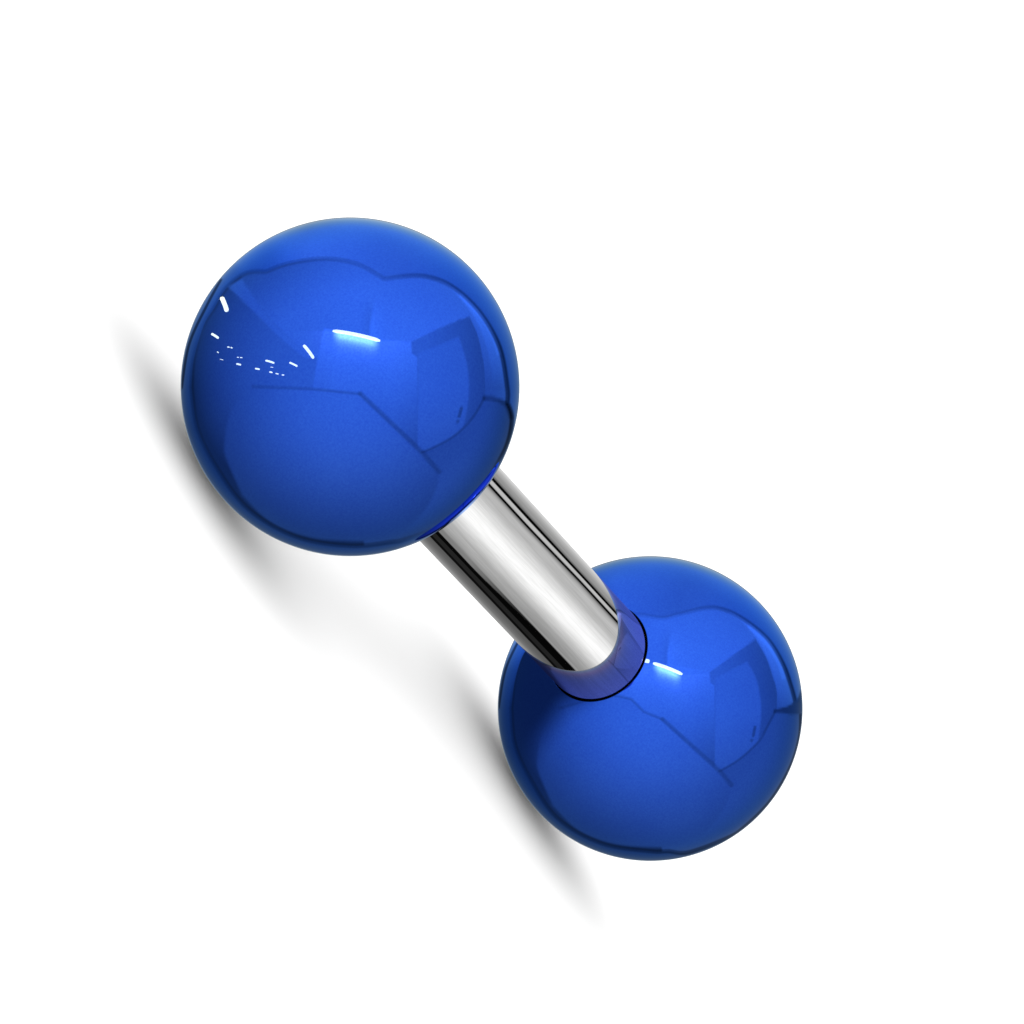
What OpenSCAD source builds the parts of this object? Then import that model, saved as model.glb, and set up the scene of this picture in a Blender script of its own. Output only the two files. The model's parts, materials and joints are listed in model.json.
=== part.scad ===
// Straight barbell stud for a tragus piercing: a steel bar with a ball screwed onto each end.
// The stud lies on its two balls with the bar along X. The origin is on the surface below the
// middle of the bar, and Z points up.

/* [Bar] */
// Diameter of the bar
bar_d = 1.0; // [0.8:0.1:1.2]
// Length of bar left bare between the two balls
wear_len = 4.6; // [4:0.2:12]
// Length of full-size bar inside each ball
seat_len = 0.3; // [0.2:0.05:0.4]
// Chamfer on each end of the full-size bar
shoulder_chamfer = 0.05; // [0.02:0.01:0.08]

/* [Thread] */
// Distance from one thread ridge to the next
thread_pitch = 0.2; // [0.15:0.05:0.25]
// Height of the thread ridges
thread_depth = 0.11; // [0.08:0.01:0.12]

/* [Balls] */
// Diameter of each ball
ball_d = 3.0; // [2.5:0.1:5]
// Chamfer round the mouth of the hole in each ball
mouth_chamfer = 0.02; // [0.01:0.01:0.08]

/* [Clearances] */
// Gap all round the bar where it enters a ball
seat_gap = 0.01; // [0.01:0.005:0.06]
// Gap all round the thread inside a ball
thread_gap = 0.03; // [0.02:0.005:0.06]
// Gap between the end of the bar's full size and the floor of its seat
floor_gap = 0.03; // [0.02:0.01:0.1]
// Gap between the tip of the thread and the end of its hole
tip_gap = 0.1; // [0.05:0.05:0.2]

/* [Hidden] */
$fn = 96;
ball_color = [0.07, 0.27, 0.85];
steel_color = [0.80, 0.81, 0.83];
// Share of the bar's radius that is left at the crest of the thread
crest_share = 0.8;
// Share of a ball's diameter that the thread may fill
thread_share = 0.48;
// Slope of the drilled end of a hole: depth of the cone for each unit of its radius
drill_slope = 0.6;
// How far a cutter reaches past the surface that it cuts
past = 0.5;
bar_r = bar_d / 2;
ball_r = ball_d / 2;
crest_r = bar_r * crest_share;
root_r = crest_r - thread_depth;
thread_turns = floor(ball_d * thread_share / thread_pitch);
thread_len = thread_turns * thread_pitch;
seat_r = bar_r + seat_gap;
bore_r = crest_r + thread_gap;
// The mouth is the ring where the seat's wall meets the sphere, measured from the ball's centre
mouth_x = sqrt(ball_r * ball_r - seat_r * seat_r);
ball_x = wear_len / 2 + mouth_x;
shoulder_x = wear_len / 2 + seat_len;

// One V-shaped ridge of the thread, standing round +X from where it starts
module thread_ridge() {
    rotate([0, 90, 0]) {
        cylinder(h = thread_pitch / 2, r1 = root_r, r2 = crest_r);
        translate([0, 0, thread_pitch / 2])
            cylinder(h = thread_pitch / 2, r1 = crest_r, r2 = root_r);
    }
}

// The stub along +X that a ball screws onto, from the shoulder outwards
module threaded_stub() {
    translate([shoulder_x, 0, 0])
        rotate([0, 90, 0])
            cylinder(h = thread_pitch / 2, r = root_r);
    for (turn = [0 : thread_turns - 1])
        translate([shoulder_x + thread_pitch * (turn + 0.5), 0, 0])
            thread_ridge();
}

// The full-size bar, with a chamfer on each end
module shaft() {
    straight_len = 2 * (shoulder_x - shoulder_chamfer);
    rotate([0, 90, 0]) {
        cylinder(h = straight_len, r = bar_r, center = true);
        for (side = [0, 1])
            mirror([0, 0, side])
                translate([0, 0, straight_len / 2])
                    cylinder(h = shoulder_chamfer, r1 = bar_r, r2 = bar_r - shoulder_chamfer);
    }
}

// A ball about the origin, with the hole for the bar opening towards +X
module drilled_ball() {
    seat_depth = seat_len + floor_gap;
    bore_depth = seat_depth + thread_pitch / 2 + thread_len + tip_gap;
    chamfer_x = mouth_x - mouth_chamfer;
    difference() {
        rotate([0, 90, 0])
            sphere(r = ball_r);
        // Seat for the end of the full-size bar
        translate([mouth_x - seat_depth, 0, 0])
            rotate([0, 90, 0])
                cylinder(h = seat_depth + past, r = seat_r);
        // Hole for the thread
        translate([mouth_x - bore_depth, 0, 0])
            rotate([0, 90, 0])
                cylinder(h = bore_depth, r = bore_r);
        // Drilled end of the hole
        translate([mouth_x - bore_depth, 0, 0])
            rotate([0, -90, 0])
                cylinder(h = bore_r * drill_slope, r1 = bore_r, r2 = 0);
        // Chamfer round the mouth
        translate([chamfer_x, 0, 0])
            rotate([0, 90, 0])
                cylinder(h = past, r1 = seat_r, r2 = seat_r + past);
    }
}

module bar() {
    color(steel_color)
        translate([0, 0, ball_r])
            union() {
                shaft();
                for (side = [0, 1])
                    mirror([side, 0, 0])
                        threaded_stub();
            }
}

module near_ball() {
    color(ball_color)
        translate([-ball_x, 0, ball_r])
            drilled_ball();
}

module far_ball() {
    color(ball_color)
        translate([ball_x, 0, ball_r])
            mirror([1, 0, 0])
                drilled_ball();
}

bar();
near_ball();
far_ball();
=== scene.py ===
import json
import math
from collections import namedtuple

import bpy
import numpy as np
from mathutils import Matrix, Vector


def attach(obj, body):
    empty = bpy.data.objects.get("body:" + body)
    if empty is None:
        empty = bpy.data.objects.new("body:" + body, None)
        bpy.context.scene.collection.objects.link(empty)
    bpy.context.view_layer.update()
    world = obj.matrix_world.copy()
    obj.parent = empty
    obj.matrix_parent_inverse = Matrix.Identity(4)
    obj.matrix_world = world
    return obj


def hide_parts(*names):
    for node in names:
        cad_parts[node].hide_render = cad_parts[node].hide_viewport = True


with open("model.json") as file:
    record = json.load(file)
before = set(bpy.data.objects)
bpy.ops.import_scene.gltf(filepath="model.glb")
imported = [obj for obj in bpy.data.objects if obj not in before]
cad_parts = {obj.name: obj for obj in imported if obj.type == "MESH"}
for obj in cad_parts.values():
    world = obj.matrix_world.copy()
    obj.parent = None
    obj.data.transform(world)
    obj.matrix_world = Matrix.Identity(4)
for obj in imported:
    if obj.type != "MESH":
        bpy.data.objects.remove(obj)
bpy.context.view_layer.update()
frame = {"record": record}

# A tragus stud: a polished steel bar with a screw-on blue ball at each end, lying on a white
# floor. Lengths are in metres unless a name says otherwise, and angles in a name are in degrees.

MM = 0.001

# Driving sizes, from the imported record: its mount is the bare bar between the balls
PIERCING = frame["record"]["mounts"][0]
BAR_R = PIERCING["dims"]["r_mm"] * MM
WEAR_LEN = PIERCING["dims"]["length_mm"] * MM
BALL_R = PIERCING["pos_m"][2]

# Sizes inside the balls, the same as in the part's source
SEAT_LEN = 0.3 * MM
SEAT_GAP = 0.01 * MM
FLOOR_GAP = 0.03 * MM
THREAD_PITCH = 0.2 * MM
THREAD_TURNS = 7
THREAD_DEPTH = 0.11 * MM
CREST_R = 0.8 * BAR_R
THREAD_GAP = 0.03 * MM
TIP_GAP = 0.1 * MM
DRILL_SLOPE = 0.6

# Shares of half a turn of the thread: its flat root, and the flank from there to its flat crest
THREAD_FLAT = 0.08
THREAD_FLANK = 0.8

# Roundings of edges, and the depth of the thread's groove inside a ball
MOUTH_ROUND = 0.006 * MM
SMALL_ROUND = 0.02 * MM
SHOULDER_ROUND = 0.04 * MM
TIP_ROUND = 0.05 * MM
GROOVE_DEPTH = 0.04 * MM

# Worked out from those
SEAT_R = BAR_R + SEAT_GAP
BORE_R = CREST_R + THREAD_GAP
ROOT_R = CREST_R - THREAD_DEPTH
MOUTH_X = math.sqrt(BALL_R**2 - SEAT_R**2)
BALL_X = WEAR_LEN / 2 + MOUTH_X
SHOULDER_X = WEAR_LEN / 2 + SEAT_LEN
TIP_X = SHOULDER_X + THREAD_PITCH * (THREAD_TURNS + 0.5)
SEAT_DEPTH = SEAT_LEN + FLOOR_GAP
BORE_DEPTH = TIP_X - WEAR_LEN / 2 + FLOOR_GAP + TIP_GAP
AXIS = Vector((0, 0, BALL_R))

# Mesh fineness
COLUMNS = 192
BALL_ROWS = 110
SHAFT_ROWS = 16
SEAT_ROWS = 6
SEAT_FLOOR_ROWS = 4
SHOULDER_ROWS = 3
BEND_ROWS = 8
ROWS_PER_PITCH = 10

# The camera, fitted to the outlines of the balls and the bar in the photograph. The near ball's
# centre is seen this many ball radii to the right, down, and ahead of the camera.
BAR_TO_SIGHT_DEG = 33.8
BAR_IN_PICTURE_DEG = 47.45
CAMERA_ABOVE_FLOOR_DEG = 8.0
NEAR_BALL_SEEN = (-0.955, -0.739, 36.93)
LENS_MM = 219.9
SENSOR_MM = 36.0


def view_axes():
    """The camera's right, up and back, and the two directions across the bar: the one that faces
    the camera and the one at right angles to it."""
    theta = math.radians(BAR_TO_SIGHT_DEG)
    rise = math.radians(CAMERA_ABOVE_FLOOR_DEG)
    turn = math.radians(BAR_IN_PICTURE_DEG)
    tilt = math.acos(math.sin(rise) / math.sin(theta))
    along = Vector((1, 0, 0))
    facing = Vector((0, -math.sin(tilt), math.cos(tilt)))
    across = Vector((0, math.cos(tilt), math.sin(tilt)))
    forward = math.cos(theta) * along - math.sin(theta) * facing
    down_bar = (along - math.cos(theta) * forward) / math.sin(theta)
    right = math.cos(turn) * down_bar + math.sin(turn) * across
    up = -math.sin(turn) * down_bar + math.cos(turn) * across
    return right, up, -forward, facing, across


RIGHT, UP, BACK, FACING, ACROSS = view_axes()


# Camera

def add_camera():
    data = bpy.data.cameras.new("camera")
    data.lens = LENS_MM
    data.sensor_width = SENSOR_MM
    data.clip_start = 0.001
    data.clip_end = 10.0
    camera = bpy.data.objects.new("camera", data)
    bpy.context.scene.collection.objects.link(camera)
    near_ball = AXIS - Vector((BALL_X, 0, 0))
    x, down, ahead = NEAR_BALL_SEEN
    place = near_ball - BALL_R * (x * RIGHT - down * UP - ahead * BACK)
    turned = Matrix((RIGHT, UP, BACK)).transposed().to_4x4()
    camera.matrix_world = Matrix.Translation(place) @ turned
    bpy.context.scene.camera = camera


# Turned metal. A row is (x, r, normal): r is one radius or one for each column, and normal is the
# surface's direction in (x, r), or None where the mesh's own normal is good.

def arc(x, r, radius, start_deg, end_deg, rows, hollow=False):
    """Rows round part of a circle. A hollow bend faces the circle's centre."""
    side = -1 if hollow else 1
    found = []
    for turn in np.radians(np.linspace(start_deg, end_deg, rows + 1)):
        c, s = math.cos(turn), math.sin(turn)
        found.append((x + radius * c, r + radius * s, (side * c, side * s)))
    return found


def straight(x0, r0, x1, r1, normal, rows=1):
    """Rows between two bends, without the two ends, which the bends hold."""
    steps = np.linspace(0, 1, rows + 1)[1:-1]
    return [(x0 + (x1 - x0) * t, r0 + (r1 - r0) * t, normal) for t in steps]


def smooth(low, high, value):
    """0 below low, 1 above high, and a soft step between them."""
    t = np.clip((np.asarray(value, float) - low) / (high - low), 0, 1)
    return t * t * (3 - 2 * t)


def between(value, start, end):
    """1 between the spans start and end, 0 outside them, and soft over the spans."""
    return smooth(*start, value) * (1 - smooth(*end, value))


def thread(x):
    """How far the thread stands up, from 0 to 1, round the columns at x. It is right-handed."""
    turn = np.arange(COLUMNS) / COLUMNS
    phase = (x / THREAD_PITCH - turn) % 1
    ridge = 1 - np.abs(2 * phase - 1)
    return np.clip((ridge - THREAD_FLAT) / THREAD_FLANK, 0, 1)


def revolved(name, rows, place, turned=False, hole_row=None):
    """A closed solid from rows, whose first and last lie on the axis. turned faces it to -X, and
    from hole_row on its faces have the second material."""
    angles = np.arange(COLUMNS) / COLUMNS * 2 * math.pi
    rings = [(x, np.broadcast_to(r, COLUMNS), n) for x, r, n in rows[1:-1]]

    def round_axis(x, r):
        return np.stack([np.full(COLUMNS, x), r * np.cos(angles), r * np.sin(angles)], -1)

    spots = [round_axis(x, r) for x, r, _ in rings]
    verts = np.concatenate([[(rows[0][0], 0, 0)], *spots, [(rows[-1][0], 0, 0)]])
    last, end = len(verts) - 1, 1 + (len(rings) - 1) * COLUMNS
    around = [(j, (j + 1) % COLUMNS) for j in range(COLUMNS)]
    faces = [(0, 1 + k, 1 + j) for j, k in around]
    for a in range(1, end, COLUMNS):
        b = a + COLUMNS
        faces += [(a + j, a + k, b + k, b + j) for j, k in around]
    faces += [(end + j, end + k, last) for j, k in around]
    mesh = bpy.data.meshes.new(name)
    mesh.from_pydata(verts.tolist(), [], faces)
    mesh.polygons.foreach_set("use_smooth", np.ones(len(faces), bool))
    if hole_row:
        in_hole = np.arange(len(faces)) >= hole_row * COLUMNS
        mesh.polygons.foreach_set("material_index", in_hole.astype(np.int32))
    mesh.update()
    normals = np.empty(3 * len(verts))
    mesh.vertices.foreach_get("normal", normals)
    normals = normals.reshape(-1, 3)
    for i, (_, _, n) in enumerate(rings):
        if n:
            normals[1 + i * COLUMNS:1 + (i + 1) * COLUMNS] = round_axis(*n)
    if turned:
        mesh.transform(Matrix.Rotation(math.pi, 4, "Z"))
        normals *= (-1, -1, 1)
    mesh.transform(Matrix.Translation(place))
    mesh.normals_split_custom_set_from_vertices(normals.tolist())
    piece = bpy.data.objects.new(name, mesh)
    bpy.context.scene.collection.objects.link(piece)
    return piece


def ball_rows():
    """A ball about the origin with its hole towards +X: the sphere and the rounded mouth, then the
    seat of the full-size bar, the threaded hole, and the drilled end of that hole."""
    lip_r = SEAT_R + MOUTH_ROUND
    lip_x = math.sqrt((BALL_R - MOUTH_ROUND) ** 2 - lip_r**2)
    lip_deg = math.degrees(math.atan2(lip_r, lip_x))
    floor_x = MOUTH_X - SEAT_DEPTH
    end_x = MOUTH_X - BORE_DEPTH
    bend = SMALL_ROUND
    rows = arc(0, 0, BALL_R, 180, lip_deg, BALL_ROWS)
    rows += arc(lip_x, lip_r, MOUTH_ROUND, lip_deg, -90, BEND_ROWS)[1:]
    hole_row = len(rows) - 1
    rows += straight(lip_x, SEAT_R, floor_x + bend, SEAT_R, (0, -1), SEAT_ROWS)
    rows += arc(floor_x + bend, SEAT_R - bend, bend, 90, 180, BEND_ROWS, hollow=True)
    rows += straight(floor_x, SEAT_R - bend, floor_x, BORE_R + bend, (1, 0), SEAT_FLOOR_ROWS)
    rows += arc(floor_x - bend, BORE_R + bend, bend, 0, -90, BEND_ROWS)
    count = round((floor_x - end_x) / THREAD_PITCH * ROWS_PER_PITCH)
    start_x = floor_x - 2 * bend
    for x in np.linspace(start_x, end_x, count):
        fade = smooth(0, THREAD_PITCH, start_x - x) * smooth(0, THREAD_PITCH, x - end_x)
        rows.append((x, BORE_R + GROOVE_DEPTH * fade * thread(x), None))
    rows.append((end_x - BORE_R * DRILL_SLOPE, 0, None))
    return rows, hole_row


def bar_rows():
    """The bar about the origin: a full-size shaft and a threaded stub at each end."""
    bend, shoulder = SMALL_ROUND, SHOULDER_ROUND
    edge_x = SHOULDER_X - shoulder
    half = arc(edge_x, BAR_R - shoulder, shoulder, 90, 0, BEND_ROWS)
    half += straight(SHOULDER_X, BAR_R - shoulder, SHOULDER_X, ROOT_R + bend, (1, 0), SHOULDER_ROWS)
    half += arc(SHOULDER_X + bend, ROOT_R + bend, bend, 180, 270, BEND_ROWS, hollow=True)
    count = round((TIP_X - SHOULDER_X) / THREAD_PITCH * ROWS_PER_PITCH)
    start, end = SHOULDER_X + 2 * bend, TIP_X - TIP_ROUND
    stub = []
    for x in np.linspace(start, end, count):
        fade = smooth(0, THREAD_PITCH / 2, x - start) * smooth(0, THREAD_PITCH, end - x)
        stub.append((x, THREAD_DEPTH * fade))
    tip = [(TIP_X, ROOT_R - TIP_ROUND, (1, 0)), (TIP_X, 0, (1, 0))]

    def end_rows(side):
        turned = [(side * x, r, (side * n[0], n[1])) for x, r, n in half]
        turned += [(side * x, ROOT_R + rise * thread(side * x), None) for x, rise in stub]
        return turned + [(side * x, r, (side * n[0], n[1])) for x, r, n in tip]

    shaft = straight(-edge_x, BAR_R, edge_x, BAR_R, (0, 1), SHAFT_ROWS)
    return end_rows(-1)[::-1] + shaft + end_rows(1)


# Materials

# Colours from dark to light, and the tint of the coating's reflection at a glancing angle
BLUE = ((0.027, 0.121, 0.885, 1), (0.039, 0.167, 1.0, 1))
BLUE_AT_RIM = (0.61, 0.88, 1.0, 1)
# The steel in the balls' holes, darker than bare steel is: painted shade in the deep holes
BARE_STEEL_WITH_PAINTED_SHADE = ((0.22, 0.22, 0.23, 1), (0.42, 0.42, 0.43, 1))
POLISHED_STEEL = ((0.765, 0.765, 0.76, 1), (0.90, 0.90, 0.898, 1))
# Nearly all values of a noise lie between these
NOISE_SPAN = (0.3, 0.7)


class Nodes:
    """Makes nodes in a material's tree and joins them, so that a material reads as a list."""

    def __init__(self, name):
        self.material = bpy.data.materials.new(name)
        self.material.use_nodes = True
        self.tree = self.material.node_tree
        self.tree.nodes.clear()

    def add(self, kind, inputs=None, **settings):
        node = self.tree.nodes.new(kind)
        for key, value in settings.items():
            setattr(node, key, value)
        for key, value in (inputs or {}).items():
            if isinstance(value, bpy.types.NodeSocket):
                self.tree.links.new(value, node.inputs[key])
            else:
                node.inputs[key].default_value = value
        return node

    def maths(self, operation, first, second):
        return self.add("ShaderNodeMath", {0: first, 1: second}, operation=operation).outputs[0]

    def ranged(self, value, to_low, to_high, span=NOISE_SPAN):
        low, high = span
        inputs = {
            "Value": value, "From Min": low, "From Max": high, "To Min": to_low, "To Max": to_high,
        }
        return self.add("ShaderNodeMapRange", inputs).outputs["Result"]

    def blend(self, first, share, second):
        """A share of the second noise added to the rest of the first."""
        return self.maths(
            "ADD", self.maths("MULTIPLY", first, 1 - share), self.maths("MULTIPLY", second, share))

    def noise(self, place, per_mm, detail=2.0, roughness=0.5):
        inputs = {"Vector": place, "Scale": per_mm, "Detail": detail, "Roughness": roughness}
        return self.add("ShaderNodeTexNoise", inputs).outputs["Fac"]

    def place_mm(self, stretch=(1, 1, 1)):
        """A point of the surface in millimetres, divided by the stretch in each direction."""
        spot = self.add("ShaderNodeTexCoord").outputs["Object"]
        scale = tuple(1 / MM / s for s in stretch)
        inputs = {"Vector": spot, "Scale": scale}
        return self.add("ShaderNodeMapping", inputs).outputs["Vector"]

    def finish(self, shader):
        self.add("ShaderNodeOutputMaterial", {"Surface": shader.outputs[0]})
        return self.material


def mixed(n, factor, colours):
    """A colour between the dark and the light one of a pair."""
    dark, light = colours
    mix = n.add("ShaderNodeMix", {"Factor": factor, "A": dark, "B": light}, data_type="RGBA")
    return mix.outputs["Result"]


def bumped(n, height, strength, distance):
    inputs = {"Height": height, "Strength": strength, "Distance": distance}
    return n.add("ShaderNodeBump", inputs).outputs["Normal"]


def blue_coating():
    """Clear blue coating on polished steel, with a fine sparkle in it."""
    n = Nodes("blue_coating")
    place = n.place_mm()
    grain = n.noise(place, per_mm=55.0, roughness=0.6)
    cloud = n.noise(place, per_mm=2.2, detail=3.0)
    tone = n.maths("ADD", n.ranged(grain, 0.0, 0.8), n.ranged(cloud, 0.0, 0.2))
    shader = n.add("ShaderNodeBsdfPrincipled", {
        "Base Color": mixed(n, tone, BLUE),
        "Metallic": 1.0,
        "Specular Tint": BLUE_AT_RIM,
        "Roughness": n.ranged(grain, 0.008, 0.016),
        "Normal": bumped(n, grain, strength=0.1, distance=0.00005 * MM),
    })
    return n.finish(shader)


def bare_steel_with_painted_shade():
    """Unpolished steel in the hole of a ball, as the drill and the tap leave it. Its colour is
    darker than the steel's own, as painted shade in the deep hole.
    """
    n = Nodes("bare_steel_with_painted_shade")
    rings = n.noise(n.place_mm(stretch=(0.25, 1, 1)), per_mm=9.0, detail=3.0, roughness=0.6)
    shader = n.add("ShaderNodeBsdfPrincipled", {
        "Base Color": mixed(n, n.ranged(rings, 0.0, 1.0), BARE_STEEL_WITH_PAINTED_SHADE),
        "Metallic": 1.0,
        "Roughness": n.ranged(rings, 0.28, 0.4),
        "Normal": bumped(n, rings, strength=0.4, distance=0.002 * MM),
    })
    return n.finish(shader)


def polished_steel():
    """Steel polished along the bar, which leaves faint lines along it."""
    n = Nodes("polished_steel")
    lines = n.noise(n.place_mm(stretch=(60, 1, 1)), per_mm=14.0, detail=4.0, roughness=0.65)
    fine = n.noise(n.place_mm(stretch=(25, 1, 1)), per_mm=60.0)
    height = n.blend(lines, 0.2, fine)
    tone = n.ranged(n.blend(lines, 0.45, fine), 0.0, 1.0, span=(0.38, 0.62))
    shader = n.add("ShaderNodeBsdfPrincipled", {
        "Base Color": mixed(n, tone, POLISHED_STEEL),
        "Metallic": 1.0,
        "Roughness": n.ranged(fine, 0.01, 0.02),
        "Normal": bumped(n, height, strength=0.5, distance=0.0003 * MM),
    })
    return n.finish(shader)


# The object's pieces

def add_pieces():
    coating, hole, steel = blue_coating(), bare_steel_with_painted_shade(), polished_steel()
    rows, hole_row = ball_rows()
    offset = Vector((BALL_X, 0, 0))
    near = revolved("near_ball_blue", rows, AXIS - offset, hole_row=hole_row)
    far = revolved("far_ball_blue", rows, AXIS + offset, turned=True, hole_row=hole_row)
    bar = revolved("bar_polished", bar_rows(), AXIS)
    for piece, node, slot, looks in (
        (near, "near_ball", "blue_coating", (coating, hole)),
        (far, "far_ball", "blue_coating", (coating, hole)),
        (bar, "bar", "polished_steel", (steel,)),
    ):
        for look in looks:
            piece.data.materials.append(look)
        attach(piece, node)
        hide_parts(node)
    return near, far, bar


# The studio. Each ball and the bar mirror a light tent of their own, a painted dome far round the
# stud. A ball's tent is charted as the ball shows it: a spot is (right, up) from the ball's middle.
# The places of its lines and the values of its light were taken from measurements of the
# photograph's reflections, and corrected against renders.

# The chart's unit, in radii of the ball's outline
CHART_UNIT = 0.99
# Radii of the domes in metres. Only the outermost, the near ball's, isn't clear.
NEAR_TENT_R = 1.0
STRIPS_R = 0.97
FAR_TENT_R = 0.95
BAR_TENT_R = 0.9
# Fineness of the domes, and the first ring of a ball's dome by its angle from the way to the camera
TENT_ROWS = 240
TENT_COLUMNS = 400
FIRST_RING_DEG = 0.5
BAR_TENT_COLUMNS = 600
# The rings of the bar's dome by their angle from the bar, closest where the camera sees them
BAR_TENT_LEAN = np.concatenate([np.arange(1, 32, 3), np.arange(32, 36, 0.1), np.arange(37, 180, 3)])


def ball_view(along):
    """Right and up in a ball's outline, the way to the camera, and its distance in radii. Along is
    how far the ball's middle is past the near ball's."""
    x, down, ahead = NEAR_BALL_SEEN
    towards = down * UP + ahead * BACK - x * RIGHT - Vector((along / BALL_R, 0, 0))
    away = towards.length
    towards.normalize()
    right = UP.cross(towards).normalized()
    return np.array([right, towards.cross(right), towards]), away


NEAR_VIEW = ball_view(0)
FAR_VIEW = ball_view(2 * BALL_X)
# Steps in which the depth of a spot on its ball settles
SETTLING_STEPS = 4


def mirrored(u, v, ball):
    """The world directions that a ball's surface mirrors at spots of its outline."""
    axes, away = ball
    u, v = np.asarray(u, float), np.asarray(v, float)
    outline = math.sqrt(away**2 - 1)
    depth = np.sqrt(np.maximum(1 - u * u - v * v, 0))
    for _ in range(SETTLING_STEPS):
        shrink = (away - depth) / outline
        depth = np.sqrt(np.maximum(1 - (u * u + v * v) * shrink**2, 0))
    normal = np.stack([u * shrink, v * shrink, depth], -1)
    view = (0, 0, away) - normal
    view /= np.linalg.norm(view, axis=-1, keepdims=True)
    return (2 * (normal * view).sum(-1, keepdims=True) * normal - view) @ axes


# Shapes on a chart of spots

def curve(*corners, steps=8):
    """A smooth line through the corners, as an array of spots."""
    p = np.array([corners[0], *corners, corners[-1]], float)
    t = np.linspace(0, 1, steps, endpoint=False)[:, None]
    spans = []
    for a, b, c, d in zip(p, p[1:], p[2:], p[3:]):
        bend, twist = 2 * a - 5 * b + 4 * c - d, 3 * b - a - 3 * c + d
        spans.append(0.5 * (2 * b + (c - a) * t + bend * t**2 + twist * t**3))
    return np.concatenate([*spans, p[-1:]])


def distance(spots, line):
    """How far each spot is from a broken line."""
    found = np.full(spots.shape[:-1], np.inf)
    for a, b in zip(line, line[1:]):
        along = b - a
        t = np.clip((spots - a) @ along / max(along @ along, 1e-12), 0, 1)
        found = np.minimum(found, np.linalg.norm(spots - a - t[..., None] * along, axis=-1))
    return found


def inside(spots, *lines, soft=0.006):
    """1 inside the outline that the lines make one after another, 0 outside, and soft between."""
    outline = np.concatenate([*lines, lines[0][:1]])
    x, y = spots[..., 0], spots[..., 1]
    odd = np.zeros(x.shape, bool)
    for (x0, y0), (x1, y1) in zip(outline, outline[1:]):
        if y0 != y1:
            odd ^= ((y0 > y) != (y1 > y)) & (x < (x1 - x0) * (y - y0) / (y1 - y0) + x0)
    signed = np.where(odd, 1, -1) * distance(spots, outline)
    return smooth(-soft, soft, signed)


def points(*corners):
    return np.array(corners, float)


def over(light, tone, mask):
    """The tone where the mask is 1, and the light where it is 0."""
    return light * (1 - mask) + tone * mask


def by_direction(table, degrees):
    """The values at some directions from a table of (direction, value)."""
    return np.interp(degrees, *zip(*table))


# The share of a line's width that is fully dark
LINE_CORE = 0.35


def line_on(light, spots, line, width, depth):
    """Darkens a thin line. A negative depth makes it brighter."""
    core = LINE_CORE * width
    return light * (1 - depth * (1 - smooth(core, width, distance(spots, line))))


# Values by the direction from the ball's middle, in degrees: the light past the room's outline, how
# much it rises towards the ball's rim, and how dark the outline is on the near and the far ball
RIM_LIGHT = [(-180, 0.15), (-165, 0.13), (-150, 0.11), (-120, 0.11), (-90, 0.13), (-75, 0.14),
             (-60, 0.22), (-30, 0.24), (0, 0.25), (15, 0.34), (30, 0.46), (45, 0.57), (60, 0.67),
             (75, 0.72), (90, 0.80), (105, 0.83), (115, 0.74), (122, 0.57), (135, 0.34),
             (150, 0.34), (165, 0.22), (180, 0.15)]
RIM_RISE = [(-180, 0.2), (-165, 0.1), (-150, 0.45), (-120, 0.5), (-90, 0.4), (-60, 0.1), (0, 0.3),
            (15, 0.25), (30, 0.2), (50, 0.1), (75, 0.1), (90, -0.04), (105, -0.24), (120, 0.0),
            (132, 0.4), (150, 0.1), (180, 0.2)]
OUTLINE_DARK = [(-180, 0.35), (-160, 0.25), (-120, 0.40), (-75, 0.38), (-62, 0.15), (-45, 0.12),
                (-32, 0.20), (-24, 0.70), (-14, 0.80), (-6, 0.70), (15, 0.75), (30, 0.55),
                (45, 0.50), (60, 0.38), (75, 0.22), (120, 0.28), (150, 0.25), (160, 0.05),
                (180, 0.35)]
FAR_DARK = [(-180, 0.30), (-150, 0.30), (-120, 0.40), (-90, 0.45), (-75, 0.60), (-50, 0.60),
            (15, 0.75), (30, 0.50), (45, 0.45), (60, 0.30), (75, 0.15), (150, 0.12), (165, 0.05),
            (180, 0.30)]
# The far ball's rim light as a share of the near one's
FAR_RIM = [(-180, 0.80), (-110, 0.90), (0, 1.0), (45, 1.0), (75, 0.83), (105, 0.90), (120, 0.75),
           (140, 1.3), (150, 1.9), (165, 1.0), (180, 0.80)]

# The outline of the room, from its left side over the top, then round the bottom
ROOM_LEFT = curve((-0.945, 0), (-0.93, 0.17), (-0.872, 0.365), (-0.81, 0.468), (-0.735, 0.59),
                  (-0.62, 0.675), (-0.5, 0.685))
ROOM_TOP = curve((-0.5, 0.685), (-0.36, 0.735), (-0.15, 0.762), (0.04, 0.731), (0.2, 0.643))
ROOM_RIGHT = curve((0.2, 0.643), (0.42, 0.662), (0.6, 0.602), (0.768, 0.45), (0.889, 0.24),
                   (0.936, 0), (0.937, -0.09))
ROOM_CORNER = curve((0.937, -0.09), (0.965, -0.19), (0.925, -0.37), (0.78, -0.62))
ROOM_BOTTOM = curve((0.78, -0.62), (0.58, -0.81), (0.33, -0.909), (0.24, -0.926), (0, -0.947),
                    (-0.32, -0.893), (-0.61, -0.724), (-0.8, -0.47), (-0.91, -0.24), (-0.945, 0))
ROOM_OUTLINE = np.concatenate([ROOM_LEFT, ROOM_TOP, ROOM_RIGHT, ROOM_CORNER, ROOM_BOTTOM])
# An edge past the outline, at the upper left
RIM_EDGE = curve((-0.77, 0.638), (-0.85, 0.491), (-0.958, 0.257), (-1.004, 0.0))

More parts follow.
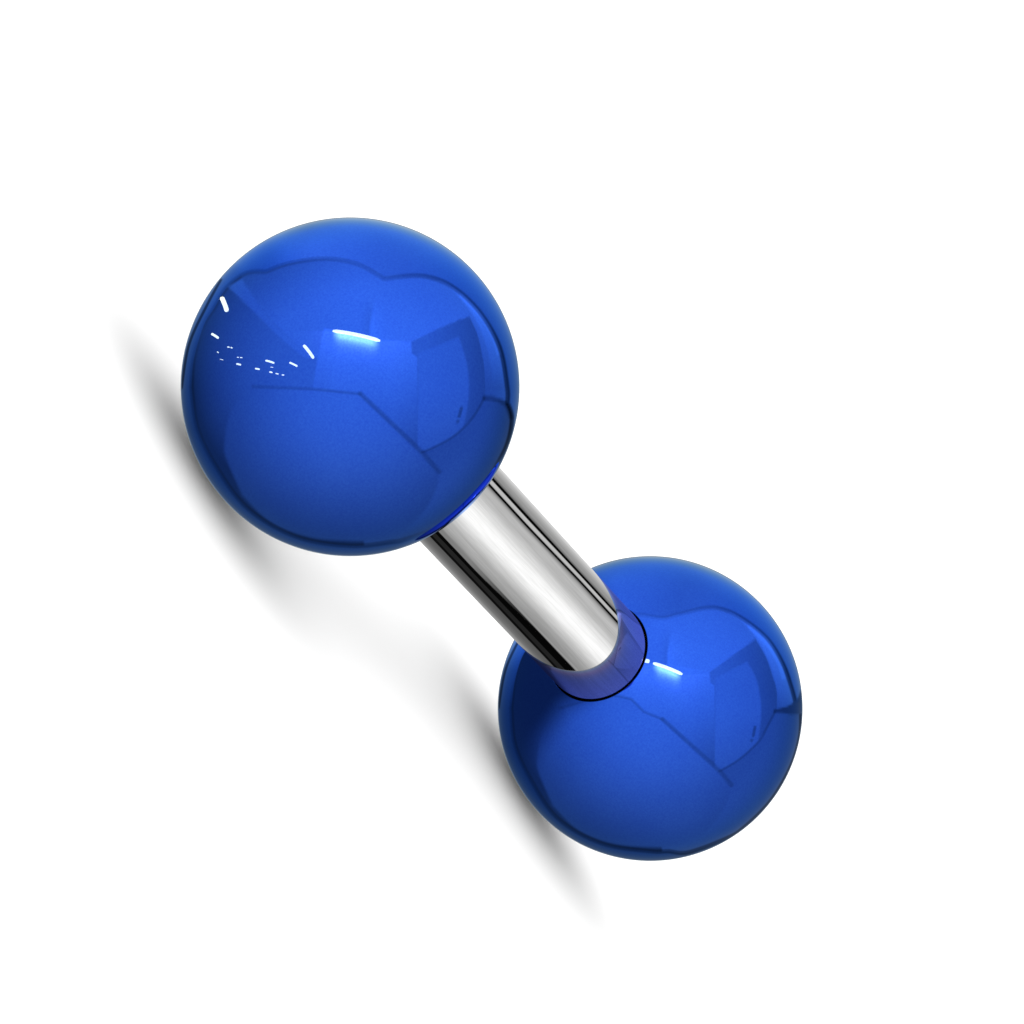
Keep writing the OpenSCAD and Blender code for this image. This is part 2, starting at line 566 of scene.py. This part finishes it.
# The floor's back and right edges, its other sides, and the foot of the wall to its right
FLOOR_BACK = points((-0.58, 0.002), (-0.22, -0.012), (0.06, -0.04))
FLOOR_SIDE = points((0.06, -0.04), (0.425, -0.388), (0.528, -0.505))
FLOOR_RIGHT = curve((0.528, -0.505), (0.51, -0.61), (0.44, -0.74), (0.3, -0.885))
FLOOR_FRONT = curve((0.3, -0.885), (0.2, -0.912), (0, -0.918), (-0.245, -0.895), (-0.47, -0.81),
                    (-0.645, -0.645))
FLOOR_LEFT = curve((-0.645, -0.645), (-0.738, -0.426), (-0.748, -0.33), (-0.72, -0.17),
                   (-0.66, -0.07), (-0.58, 0.002))
WALL_FOOT = curve((0.425, -0.388), (0.5, -0.357), (0.6, -0.303), (0.68, -0.237), (0.745, -0.16),
                  (0.8, -0.065))
CORNER_FOOT = curve((0.8, -0.065), (0.86, -0.07), (0.93, -0.105), (0.96, -0.18))

# The light beam across the left, and the ceiling to the right of it
BEAM_TOP = curve((-0.645, 0.64), (-0.5, 0.435), (-0.38, 0.31), (-0.24, 0.175))
BEAM_FOOT = curve((-0.27, 0.172), (-0.42, 0.295), (-0.53, 0.405), (-0.73, 0.6))
CEILING = points((1, 0.175), (1, 1), (-0.75, 1), (-0.645, 0.64))
CEILING_STEP = points((0.115, 0.2), (0.115, 0.36), (0.14, 0.5), (0.2, 0.65), (0.2, 1), (1, 1),
                      (1, 0.2))

# The bright panel in the middle, and the window and its frame at the right
PANEL = points((-0.225, -0.02), (-0.195, 0.17), (-0.155, 0.35), (0.17, 0.285), (0.362, 0.268),
               (0.366, 0.2), (0.4, 0.175), (0.4, -0.37), (0.06, -0.1))
FRAME_TOP = points((0.4, -0.37), (0.4, 0.175), (0.366, 0.2), (0.362, 0.268), (0.52, 0.346),
                   (0.65, 0.402), (0.71, 0.42))
FRAME_RIGHT = curve((0.71, 0.42), (0.765, 0.29), (0.795, 0.12), (0.8, -0.065))
WINDOW_TOP = points((0.405, -0.375), (0.405, 0.2), (0.645, 0.3))
WINDOW_RIGHT = curve((0.645, 0.3), (0.695, 0.13), (0.705, -0.05), (0.675, -0.235))
GLOW_BAND = curve((0.52, 0.635), (0.62, 0.565), (0.735, 0.42), (0.805, 0.26), (0.84, 0.1),
                  (0.855, -0.07))
# Two small marks low in the window, and the gleam along the inside of the outline at the right
MARKS = (points((0.662, -0.125), (0.648, -0.175)), points((0.641, -0.203), (0.639, -0.209)))
GLEAM = curve((0.66, 0.545), (0.75, 0.455), (0.80, 0.395), (0.855, 0.295), (0.885, 0.2))

# Strips of light, as the two ends and the width. The first is the key light, which glows below.
STRIPS = [
    ((-0.105, 0.333), (0.177, 0.274), 0.021),
    ((-0.766, 0.535), (-0.732, 0.447), 0.027),
    ((-0.278, 0.249), (-0.218, 0.169), 0.018),
    ((-0.826, 0.317), (-0.782, 0.289), 0.014),
    ((-0.504, 0.157), (-0.451, 0.141), 0.011),
    ((-0.362, 0.145), (-0.314, 0.122), 0.011),
    ((-0.677, 0.137), (-0.649, 0.131), 0.010),
    ((-0.566, 0.109), (-0.538, 0.104), 0.009),
    ((-0.730, 0.238), (-0.717, 0.235), 0.007),
    ((-0.711, 0.234), (-0.700, 0.231), 0.007),
    ((-0.792, 0.210), (-0.782, 0.202), 0.005),
    ((-0.775, 0.165), (-0.755, 0.160), 0.003),
    ((-0.673, 0.176), (-0.662, 0.175), 0.005),
    ((-0.655, 0.175), (-0.641, 0.173), 0.005),
    ((-0.481, 0.089), (-0.462, 0.085), 0.008),
    ((-0.444, 0.080), (-0.426, 0.076), 0.006),
    ((-0.407, 0.071), (-0.393, 0.070), 0.007),
    ((-0.474, 0.118), (-0.458, 0.115), 0.004),
]
# A strip's bow per length, its steps, the share of its width at its two ends and how fast it widens
# from there, and its strength
STRIP_BOW = 0.024
STRIP_STEPS = 12
STRIP_END = 0.5
STRIP_WIDENING = 8
STRIP_LIGHT = 1.0

# The lines that the far ball, which is at another place in the room, shows in other spots
FAR_LEFT = curve((-0.92, 0), (-0.90, 0.17), (-0.85, 0.34), (-0.775, 0.45), (-0.70, 0.56),
                 (-0.50, 0.66), (-0.25, 0.64), (-0.04, 0.62))
FAR_TOP = curve((-0.04, 0.62), (0.084, 0.60), (0.20, 0.627), (0.39, 0.668), (0.53, 0.64),
                (0.68, 0.548), (0.795, 0.44), (0.885, 0.285), (0.937, 0.135), (0.962, 0.04))
FAR_BOTTOM = curve((0.962, 0.04), (0.99, 0.03), (1.0, -0.05), (0.99, -0.2), (0.93, -0.39),
                   (0.80, -0.61), (0.62, -0.79), (0.50, -0.862), (0.255, -0.952), (0.12, -0.945),
                   (0, -0.945), (-0.32, -0.893), (-0.61, -0.73), (-0.79, -0.47), (-0.895, -0.24),
                   (-0.92, 0))
FAR_OUTLINE = np.concatenate([FAR_LEFT, FAR_TOP, FAR_BOTTOM])
FAR_BACK = points((-0.60, 0.0), (-0.30, 0.09), (-0.205, 0.081), (-0.123, 0.061), (-0.04, -0.022),
                  (0.084, -0.073))
FAR_SIDE = points((0.084, -0.073), (0.461, -0.415), (0.539, -0.507))
FAR_FOOT = curve((0.461, -0.415), (0.565, -0.355), (0.643, -0.294), (0.729, -0.207),
                 (0.773, -0.129), (0.83, -0.02))
FAR_CORNER = curve((0.83, -0.02), (0.9, -0.015), (0.95, -0.01), (1.0, 0.0))
FAR_WEDGE = points((0.825, -0.012), (0.911, 0.014), (0.946, 0.035), (0.981, 0.07), (1.002, 0.131),
                   (1.1, 0.13), (1.1, -0.038), (0.929, -0.043))
FAR_PANEL = points((-0.30, -0.1), (-0.30, 0.31), (0.17, 0.285), (0.396, 0.239), (0.4, 0.175),
                   (0.43, 0.15), (0.43, -0.4), (0.06, -0.1))
FAR_FRAME_TOP = points((0.43, -0.4), (0.43, 0.15), (0.4, 0.175), (0.396, 0.239), (0.699, 0.46))
FAR_FRAME_RIGHT = curve((0.699, 0.46), (0.77, 0.335), (0.81, 0.22), (0.838, 0.11), (0.835, 0.0))
FAR_WINDOW_TOP = points((0.435, -0.4), (0.435, 0.2), (0.643, 0.31))
FAR_WINDOW_RIGHT = curve((0.643, 0.31), (0.702, 0.2), (0.73, 0.07), (0.735, -0.05), (0.718, -0.21))
FAR_MARKS = (points((0.695, -0.125), (0.684, -0.181)), points((0.674, -0.21), (0.672, -0.215)))
FAR_SHADE = points((-1.2, 0.6), (-0.30, 0.6), (-0.30, 0.16), (-0.42, 0.08), (-0.56, 0),
                   (-0.64, -0.1), (-0.72, -0.2), (-0.80, -0.33), (-0.86, -0.5), (-1.2, -0.5))
FAR_STRIPS = [
    ((0.02, 0.300), (0.215, 0.225), 0.021),
    ((-0.065, 0.319), (-0.003, 0.311), 0.026),
]

# What differs between the balls' rooms. Rim is the rim's light as a share of RIM_LIGHT, lift is the
# light added to the floor's right, fall is how much the dark floor at the right loses towards the
# rim, shade is the outline of the dark wall at the left, and wedge that of a black corner at the
# right.
Room = namedtuple("Room", """
    outline dark rim back side foot corner panel frame_top frame_right window_top window_right marks
    lift fall shade wedge strips
""")
NEAR_ROOM = Room(
    outline=ROOM_OUTLINE, dark=OUTLINE_DARK, rim=[(-180, 1), (180, 1)],
    back=FLOOR_BACK, side=FLOOR_SIDE, foot=WALL_FOOT, corner=CORNER_FOOT,
    panel=PANEL, frame_top=FRAME_TOP, frame_right=FRAME_RIGHT,
    window_top=WINDOW_TOP, window_right=WINDOW_RIGHT, marks=MARKS,
    lift=0.04, fall=0.55, shade=None, wedge=None, strips=STRIPS,
)
FAR_ROOM = Room(
    outline=FAR_OUTLINE, dark=FAR_DARK, rim=FAR_RIM,
    back=FAR_BACK, side=FAR_SIDE, foot=FAR_FOOT, corner=FAR_CORNER,
    panel=FAR_PANEL, frame_top=FAR_FRAME_TOP, frame_right=FAR_FRAME_RIGHT,
    window_top=FAR_WINDOW_TOP, window_right=FAR_WINDOW_RIGHT, marks=FAR_MARKS,
    lift=0.11, fall=0.40, shade=FAR_SHADE, wedge=FAR_WEDGE, strips=FAR_STRIPS,
)


# Light on the parts of the room. OUT is what it loses per squared distance from the ball's middle,
# UP what it gains per height above the middle, DOWN what it loses per height below it, and RIGHT
# how it changes to the right of a place. A SPAN is where a change starts and ends.
WALL_LIGHT = 0.68
WALL_OUT = 0.67
WALL_UP = 0.25
WALL_DOWN_SHARE = 0.8
WALL_LEAST = 0.10
CEILING_LIGHT = 0.88
CEILING_OUT = 0.62
CEILING_OUT_FROM = 0.3
CEILING_GAIN = 0.22
CEILING_GAIN_SPAN = (-0.55, 0.1)
RIGHT_CEILING_LIGHT = 1.0
RIGHT_CEILING_OUT = 0.38
# The step between the two parts of the ceiling: where it is, where it ends upwards, and the shade
# on its left and the light on its right, with how far each reaches
STEP_U = 0.125
STEP_TOP_SPAN = (0.35, 0.6)
STEP_SHADE = 0.13
STEP_SHADE_REACH = 0.05
STEP_GAIN = 0.14
STEP_GAIN_REACH = 0.06
BEAM_LIGHT = 0.5
BEAM_RIGHT = 0.62
BEAM_FROM_U = -0.7


def paint_room(spots):
    """The left wall and the ceiling, before the panels."""
    u, v = spots[..., 0], spots[..., 1]
    out2 = u * u + v * v
    wall = WALL_LIGHT - WALL_OUT * out2 + WALL_UP * np.maximum(v, 0)
    wall = np.maximum(wall * (1 + WALL_DOWN_SHARE * np.minimum(v, 0)), WALL_LEAST)
    step, low = u - STEP_U, 1 - smooth(*STEP_TOP_SPAN, v)
    ceiling = CEILING_LIGHT - CEILING_OUT * np.maximum(out2, CEILING_OUT_FROM)
    ceiling += CEILING_GAIN * smooth(*CEILING_GAIN_SPAN, u)
    ceiling -= STEP_SHADE * low * np.exp(-(step / STEP_SHADE_REACH) ** 2)
    right = RIGHT_CEILING_LIGHT - RIGHT_CEILING_OUT * out2
    right += STEP_GAIN * low * np.exp(-np.maximum(step, 0) / STEP_GAIN_REACH)
    light = over(wall, ceiling, inside(spots, BEAM_TOP, CEILING, soft=0.004))
    light = over(light, right, inside(spots, CEILING_STEP, soft=0.012))
    beam = BEAM_LIGHT + BEAM_RIGHT * np.maximum(u - BEAM_FROM_U, 0)
    return over(light, beam, inside(spots, BEAM_TOP, BEAM_FOOT, soft=0.01))


# The glow below the key light: where it starts and ends, counted from the light's two ends, its
# strength at one distance, how fast it fades, and its most; then the wide haze round it
GLOW_START = (-0.01, 0.05)
GLOW_END = (-0.06, 0.005)
GLOW_LIGHT = 2.9
GLOW_DISTANCE = 0.037
GLOW_FADE = 0.021
GLOW_MOST = 5.2
HAZE_LIGHT = 0.14
HAZE_REACH = 0.13


def key_glow(spots, room):
    """Light on the panel just below the key light."""
    u, v = spots[..., 0], spots[..., 1]
    left, right = np.array(room.strips[0][:2])
    under = v < np.interp(u, (left[0], right[0]), (left[1], right[1]))
    below = distance(spots, (left, right))
    sideways = between(u, left[0] + np.array(GLOW_START), right[0] + np.array(GLOW_END))
    bright = np.minimum(GLOW_LIGHT * np.exp((GLOW_DISTANCE - below) / GLOW_FADE), GLOW_MOST)
    return under * (sideways * bright + HAZE_LIGHT * np.exp(-(below / HAZE_REACH) ** 2))


# Light on the panel, on the right wall past the frame with the band of light on it, and on the
# window and its frame
PANEL_LIGHT = 0.83
PANEL_UP_AND_DOWN = 0.95
PANEL_RIGHT = 0.6
PANEL_RIGHT_FROM_U = 0.25
PANEL_LEFT_SHADE = 0.08
PANEL_LEFT_SPAN = (-0.19, -0.06)
RIGHT_WALL = points((1, -0.1), (1, 0.46), (0.72, 0.46))
RIGHT_WALL_LIGHT = 0.40
RIGHT_WALL_UP = 0.75
BAND = points((1, -0.1), (1, 0.7))
BAND_UP = 1.2
BAND_UP_TO_V = 0.45
WINDOW_LIGHT = 0.78
WINDOW_OUT = 0.36
WINDOW_UP_AND_DOWN = 0.12
WINDOW_DOWN = 0.28
# The window's pane stands on the wall's foot from this spot on, counted from the right
PANE_FOOT = 12
FRAME_LIGHT = 0.66
FRAME_RIGHT_LOSS = 0.9
FRAME_RIGHT_FROM_U = 0.45
FRAME_DOWN = 0.3


def paint_right(light, spots, room):
    """The panel, the window in its frame, and the band of light along the right wall."""
    u, v = spots[..., 0], spots[..., 1]
    out2, above, below = u * u + v * v, np.maximum(v, 0), np.minimum(v, 0)
    panel = PANEL_LIGHT + PANEL_UP_AND_DOWN * v
    panel -= PANEL_RIGHT * np.maximum(u - PANEL_RIGHT_FROM_U, 0)
    panel -= PANEL_LEFT_SHADE * (1 - smooth(*PANEL_LEFT_SPAN, u))
    light = over(light, panel, inside(spots, room.panel, soft=0.008))
    wall = RIGHT_WALL_LIGHT + RIGHT_WALL_UP * above
    light = over(light, wall, inside(spots, room.frame_right, RIGHT_WALL))
    band = RIGHT_WALL_LIGHT + BAND_UP * np.minimum(above, BAND_UP_TO_V)
    light = over(light, band, inside(spots, GLOW_BAND, BAND, soft=0.01))
    border = FRAME_LIGHT - FRAME_RIGHT_LOSS * np.maximum(u - FRAME_RIGHT_FROM_U, 0)
    border += FRAME_DOWN * below
    foot = room.foot[::-1]
    light = over(light, border, inside(spots, room.frame_top, room.frame_right, foot))
    window = WINDOW_LIGHT - WINDOW_OUT * out2 + WINDOW_UP_AND_DOWN * v + WINDOW_DOWN * below
    pane = inside(spots, room.window_top, room.window_right, foot[PANE_FOOT:], soft=0.01)
    return over(light, window, pane)


# The darker floor at the right, with the edge that closes it, then the floor in front, the light
# added to its right, the dark wall at the left, and the black corner at the right
LOW_EDGE = points((1.1, -0.2), (1.1, -1.1), (0.08, -1.1), (0.08, -0.926), (0.2, -0.6))
LOW_LIGHT = 0.37
LOW_FALL_SPAN = (0.6, 1.0)
FLOOR_LIGHT = 0.76
FLOOR_OUT = 1.1
FLOOR_FAR_OUT = 0.52
LIFT_SPAN = (-0.4, 0.3)
LIFT_OUT_TO = 0.6
SHADE_LIGHT = 0.077
WEDGE_LIGHT = 0.14


def paint_floor(light, spots, room):
    """The floor in front, and the darker floor to its right."""
    u, v = spots[..., 0], spots[..., 1]
    out2 = u * u + v * v
    dark = LOW_LIGHT * (1 - room.fall * smooth(*LOW_FALL_SPAN, out2))
    low = inside(spots, room.back, room.side[:2], room.foot, room.corner, LOW_EDGE)
    light = over(light, dark, low)
    bright = FLOOR_LIGHT - FLOOR_OUT * out2 + FLOOR_FAR_OUT * out2**2
    bright += room.lift * smooth(*LIFT_SPAN, u) * np.minimum(out2, LIFT_OUT_TO)
    floor = inside(spots, room.back, room.side, FLOOR_RIGHT, FLOOR_FRONT, FLOOR_LEFT, soft=0.014)
    light = over(light, bright, floor)
    if room.shade is not None:
        light = over(light, SHADE_LIGHT, inside(spots, room.shade, soft=0.13))
    return light


# Colours of the tent's light: below the key light, at the rim of the ball, at the top of that rim,
# and on the floor, with the heights or distances over which the last two come in
KEY_TINT = (1.8, 1.0, 1.0)
RIM_TINT = (0.7, 0.88, 1.0)
TOP_TINT = (1.1, 1.05, 0.8)
TOP_TINT_SPAN = (0.95, 0.99)
LOW_TINT = (1.3, 1.13, 1.0)
LOW_TINT_SPAN = (-0.8, 0.1)
# Where the top of the rim starts and ends, in degrees, and where the rim's light rises
TOP_START = (40, 70)
TOP_END = (105, 125)
RIM_RISE_SPAN = (0.86, 1.0)
OUTLINE_WIDTH = 0.021


def tint(colour, share):
    return 1 + share[..., None] * (np.array(colour) - 1)


def paint_for_ball(spots, room):
    """The colour of a ball's tent at each spot."""
    u, v = spots[..., 0], spots[..., 1]
    around = np.degrees(np.arctan2(v, u))
    within = inside(spots, room.outline, soft=0.004)
    out = np.hypot(u, v)
    top = between(around, TOP_START, TOP_END)
    rise = by_direction(RIM_RISE, around) * smooth(*RIM_RISE_SPAN, out)
    rim = by_direction(RIM_LIGHT, around) * by_direction(room.rim, around) * (1 + rise)
    light = paint_floor(paint_right(paint_room(spots), spots, room), spots, room)
    light = over(rim, light, within)
    light = line_on(light, spots, room.outline, OUTLINE_WIDTH, by_direction(room.dark, around))
    for line, width, depth in (
        (room.back, 0.016, 0.16), (room.side, 0.022, 0.28), (room.foot, 0.012, 0.25),
        (room.corner, 0.022, 0.40), (room.marks[0], 0.014, 0.45), (room.marks[1], 0.014, 0.35),
        (RIM_EDGE, 0.012, 0.72), (GLEAM, 0.02, -0.2),
    ):
        light = line_on(light, spots, line, width, depth)
    if room.wedge is not None:
        light = over(light, WEDGE_LIGHT, inside(spots, room.wedge, soft=0.008))
    colour = light[..., None] * tint(LOW_TINT, 1 - smooth(*LOW_TINT_SPAN, v))
    colour *= tint(RIM_TINT, (1 - within) * (1 - top))
    colour *= tint(TOP_TINT, top * smooth(*TOP_TINT_SPAN, out))
    return colour + key_glow(spots, room)[..., None] * KEY_TINT


# Light round the bar, by how far a direction is turned about it: 0 is what the middle of the bar
# shows, and 180 either way is what its two edges show
BAR_LIGHT = [(-180, 0.42), (-148, 0.31), (-136, 0.21), (-124, 0.155), (-108, 0.11), (-76, 0.12),
             (-68, 0.24), (-62, 0.40), (-50, 0.52), (-42, 0.53), (-32, 0.68), (-20, 0.90),
             (-8, 1.10), (0, 1.16), (12, 1.12), (20, 1.05), (32, 0.83), (44, 0.63), (52, 0.56),
             (64, 0.58), (68, 0.52), (72, 0.38), (77, 0.15), (83, 0.50), (87, 0.61), (93, 0.61),
             (97, 0.30), (102, 0.12), (107, 0.24), (112, 0.33), (120, 0.36), (132, 0.48),
             (150, 0.66), (160, 0.72), (180, 0.77)]


# Towards the far end of the bar its bright and dark lines move and fade: how far along they go on
# changing, from where on they move, and how far that counts, all in degrees of lean
ALONG_MOST = 0.9
MOVE_FROM = 0.16
MOVE_MOST = 0.8
# How much the lines on the two sides move for that, and where on the right side they do
RIGHT_MOVE = 6.5
RIGHT_MOVE_START = (50, 76)
RIGHT_MOVE_END = (90, 115)
LEFT_MOVE = 13
LEFT_EDGE = -76.5
LEFT_FADE = 0.32
LEFT_FADE_START = (-64, -58)
LEFT_FADE_END = (-58, -10)
# The dark line that fades at the left: its light, what it loses on the way, and the least
FADING = 0.27
FADING_LOSS = 0.38
FADING_LEAST = 0.028
LINE_SOFT_DEG = 0.8


def paint_for_bar(turn, lean):
    """The tent's light by the turn about the bar and the lean, which is the angle from the bar: 34
    where the camera looks, and less towards the far ball."""
    along = np.clip(BAR_TO_SIGHT_DEG - lean, 0, ALONG_MOST)
    move = np.clip(along - MOVE_FROM, 0, MOVE_MOST)
    right = RIGHT_MOVE * move
    edge = LEFT_EDGE + LEFT_MOVE * move
    light = by_direction(BAR_LIGHT, turn - right * between(turn, RIGHT_MOVE_START, RIGHT_MOVE_END))
    light = light * (1 - LEFT_FADE * along * between(turn, LEFT_FADE_START, LEFT_FADE_END))
    fading = np.maximum(FADING - FADING_LOSS * along, FADING_LEAST)
    for start, end, tone in (
        (-106, edge, 0.019), (-106, -98.5, 0.004), (-86, edge, 0.002), (edge, -66, fading),
        (76.6 + right, 82.8 + right, 0.001), (94.3 + right / 2, 102.8 + right / 3, 0.001),
    ):
        soft_start, soft_end = ((at - LINE_SOFT_DEG, at + LINE_SOFT_DEG) for at in (start, end))
        light = over(light, tone, between(turn, soft_start, soft_end))
    return light[..., None] * np.ones(3)


# What the blue coating mirrors as plain white
WHITE_ON_BLUE = (26.0, 7.2, 1.06, 1)
# The tint and strength of a tent's light where it comes by two mirrors: the balls as the bar shows
# them are more purple, and the bar is dim where a ball shows it
BALLS_IN_BAR = (2.25, 0.88, 0.74, 1)
BAR_IN_BALLS = (0.3, 0.3, 0.3, 1)
# What is left of it at a third mirror
THIRD_MIRROR = 0.4
# The share along the bar of a direction, over which a tent's second tint fades out
SECOND_TINT_SPAN = (0.4, 0.72)


def added(n, shader, other):
    return n.add("ShaderNodeAddShader", {0: shader.outputs[0], 1: other.outputs[0]})


def less(n, first, second):
    """The first less the second, and no less than 0."""
    node = n.add("ShaderNodeMath", {0: first, 1: second}, operation="SUBTRACT", use_clamp=True)
    return node.outputs[0]


def emission(n, glow, twice, clear):
    """Light that only the mirrors see: the floor doesn't take it from them."""
    path = n.add("ShaderNodeLightPath").outputs
    kept = n.maths("POWER", THIRD_MIRROR, less(n, path["Glossy Depth"], 2.0))
    share = n.maths("MULTIPLY", less(n, path["Glossy Depth"], 1.0), glow["Alpha"])
    tinted = n.add("ShaderNodeMix", {"Factor": share, "A": glow["Color"], "B": twice},
                   data_type="RGBA", blend_type="MULTIPLY")
    strength = n.maths("MULTIPLY", kept, less(n, 1.0, path["Diffuse Depth"]))
    inputs = {"Color": tinted.outputs["Result"], "Strength": strength}
    shader = n.add("ShaderNodeEmission", inputs)
    return added(n, shader, n.add("ShaderNodeBsdfTransparent")) if clear else shader


def add_tent(name, ways, light, radius, receivers, twice, clear=False):
    """A dome from rings of directions, painted with light, that only the receivers mirror. A clear
    one lets other rays through. Its second tint fades out towards the far end of the bar."""
    rings, columns = light.shape[:2]
    middles = [ways[0].mean(0), ways[-1].mean(0)]
    ends = [middle / np.linalg.norm(middle) for middle in middles]
    ways = np.concatenate([ways.reshape(-1, 3), ends])
    verts = ways * radius + np.array(AXIS)
    glow = np.ones((len(verts), 4), np.float32)
    glow[:, 3] = 1 - smooth(*SECOND_TINT_SPAN, ways[:, 0])
    glow[:, :3] = np.concatenate([light.reshape(-1, 3), [light[0].mean(0), light[-1].mean(0)]])
    last_ring, first_end, last_end = (rings - 1) * columns, len(verts) - 2, len(verts) - 1
    faces = []
    for j in range(columns):
        k = (j + 1) % columns
        for a in range(0, last_ring, columns):
            b = a + columns
            faces.append((a + j, a + k, b + k, b + j))
        faces.append((first_end, k, j))
        faces.append((last_end, last_ring + j, last_ring + k))
    mesh = bpy.data.meshes.new(name)
    mesh.from_pydata(verts.tolist(), [], faces)
    attribute = mesh.attributes.new("glow", "FLOAT_COLOR", "POINT")
    attribute.data.foreach_set("color", glow.reshape(-1))
    n = Nodes(name)
    painted = n.add("ShaderNodeAttribute", attribute_name="glow").outputs
    mesh.materials.append(n.finish(emission(n, painted, twice, clear)))
    only_mirrored(name, mesh, receivers)


def only_mirrored(name, mesh, receivers):
    """A studio piece that nothing shows but the mirroring surfaces of the receivers."""
    mesh.materials[0].cycles.emission_sampling = "NONE"
    thing = bpy.data.objects.new(name, mesh)
    bpy.context.scene.collection.objects.link(thing)
    thing.visible_camera = False
    thing.visible_diffuse = False
    thing.visible_shadow = False
    thing.light_linking.receiver_collection = receivers


# Where, towards the ball's outline, a ball's tent goes over to one even light
BEHIND_SPAN = (0.992, 0.9995)


def add_ball_tent(name, ball, room, radius, receivers, clear=False):
    """A ball's tent. Right behind the ball, where its painted lines meet, it has one even light."""
    out = np.sin(np.radians(np.linspace(FIRST_RING_DEG, 180, TENT_ROWS)) / 2)[:, None]
    around = np.linspace(0, 2 * math.pi, TENT_COLUMNS, endpoint=False)
    spots = np.stack([out * np.cos(around), out * np.sin(around)], -1)
    light = paint_for_ball(spots / CHART_UNIT, room)
    light = over(light, light[-1].mean(0), smooth(*BEHIND_SPAN, out)[..., None])
    ways = mirrored(spots[..., 0], spots[..., 1], ball)
    add_tent(name, ways, light, radius, receivers, BALLS_IN_BAR, clear)


def add_bar_tent(receivers):
    turn = np.linspace(-180, 180, BAR_TENT_COLUMNS, endpoint=False)
    turn, lean = np.broadcast_arrays(turn, BAR_TENT_LEAN[:, None])
    light = paint_for_bar(turn, lean)
    turn, lean = np.radians(turn)[..., None], np.radians(lean)[..., None]
    across = np.cos(turn) * np.array(FACING) + np.sin(turn) * np.array(ACROSS)
    ways = np.sin(lean) * across + np.cos(lean) * np.array((1.0, 0.0, 0.0))
    add_tent("bar_tent", ways, light, BAR_TENT_R, receivers, BAR_IN_BALLS, clear=True)


def group(name, piece):
    found = bpy.data.collections.new(name)
    found.objects.link(piece)
    return found


def add_strips(name, ball, strips, receivers):
    verts, faces = [], []
    for (u0, v0), (u1, v1), width in strips:
        along = math.hypot(u1 - u0, v1 - v0)
        side_u, side_v = (v0 - v1) / along, (u1 - u0) / along
        for k in range(STRIP_STEPS + 1):
            t = k / STRIP_STEPS
            bow = 4 * STRIP_BOW * along * t * (1 - t)
            half = width / 2 * min(1, STRIP_WIDENING * min(t, 1 - t) + STRIP_END)
            if k:
                here = len(verts)
                faces.append((here - 2, here - 1, here + 1, here))
            for reach in (bow - half, bow + half):
                u = u0 + (u1 - u0) * t + side_u * reach
                v = v0 + (v1 - v0) * t + side_v * reach
                way = mirrored(u * CHART_UNIT, v * CHART_UNIT, ball)
                verts.append(tuple(way * STRIPS_R + np.array(AXIS)))
    mesh = bpy.data.meshes.new(name)
    mesh.from_pydata(verts, [], faces)
    n = Nodes(name)
    light = n.add("ShaderNodeEmission", {"Color": WHITE_ON_BLUE, "Strength": STRIP_LIGHT})
    mesh.materials.append(n.finish(added(n, light, n.add("ShaderNodeBsdfTransparent"))))
    only_mirrored(name, mesh, receivers)


# The floor's half side in metres, its white, the light it has of itself, and the world's strength
FLOOR_HALF = 2.0
FLOOR_WHITE = (0.8, 0.8, 0.8, 1)
FLOOR_FILL = 0.12
WORLD_LIGHT = 1.6


def add_floor():
    """A white floor, lit by the world and, a little, from everywhere at once."""
    mesh = bpy.data.meshes.new("floor")
    half = FLOOR_HALF
    corners = [(-half, -half, 0), (half, -half, 0), (half, half, 0), (-half, half, 0)]
    mesh.from_pydata(corners, [], [(0, 1, 2, 3)])
    floor = bpy.data.objects.new("floor", mesh)
    bpy.context.scene.collection.objects.link(floor)
    n = Nodes("white_floor")
    white = n.add("ShaderNodeBsdfDiffuse", {"Color": FLOOR_WHITE})
    fill = n.add("ShaderNodeEmission", {"Strength": FLOOR_FILL})
    mesh.materials.append(n.finish(added(n, white, fill)))
    floor.visible_glossy = False
    floor.visible_shadow = False


def add_world():
    world = bpy.data.worlds.new("studio")
    world.use_nodes = True
    background = world.node_tree.nodes["Background"]
    background.inputs["Color"].default_value = (1, 1, 1, 1)
    background.inputs["Strength"].default_value = WORLD_LIGHT
    bpy.context.scene.world = world


bpy.context.scene.view_settings.view_transform = "Standard"
add_camera()
near, far, bar = add_pieces()
mirrored_by_near = group("mirrored_by_near_ball", near)
add_ball_tent("near_ball_tent", NEAR_VIEW, NEAR_ROOM, NEAR_TENT_R, mirrored_by_near)
add_strips("near_ball_strips", NEAR_VIEW, STRIPS, mirrored_by_near)
mirrored_by_far = group("mirrored_by_far_ball", far)
add_ball_tent("far_ball_tent", FAR_VIEW, FAR_ROOM, FAR_TENT_R, mirrored_by_far, clear=True)
add_strips("far_ball_strips", FAR_VIEW, FAR_STRIPS, mirrored_by_far)
add_bar_tent(group("mirrored_by_bar", bar))
add_floor()
add_world()
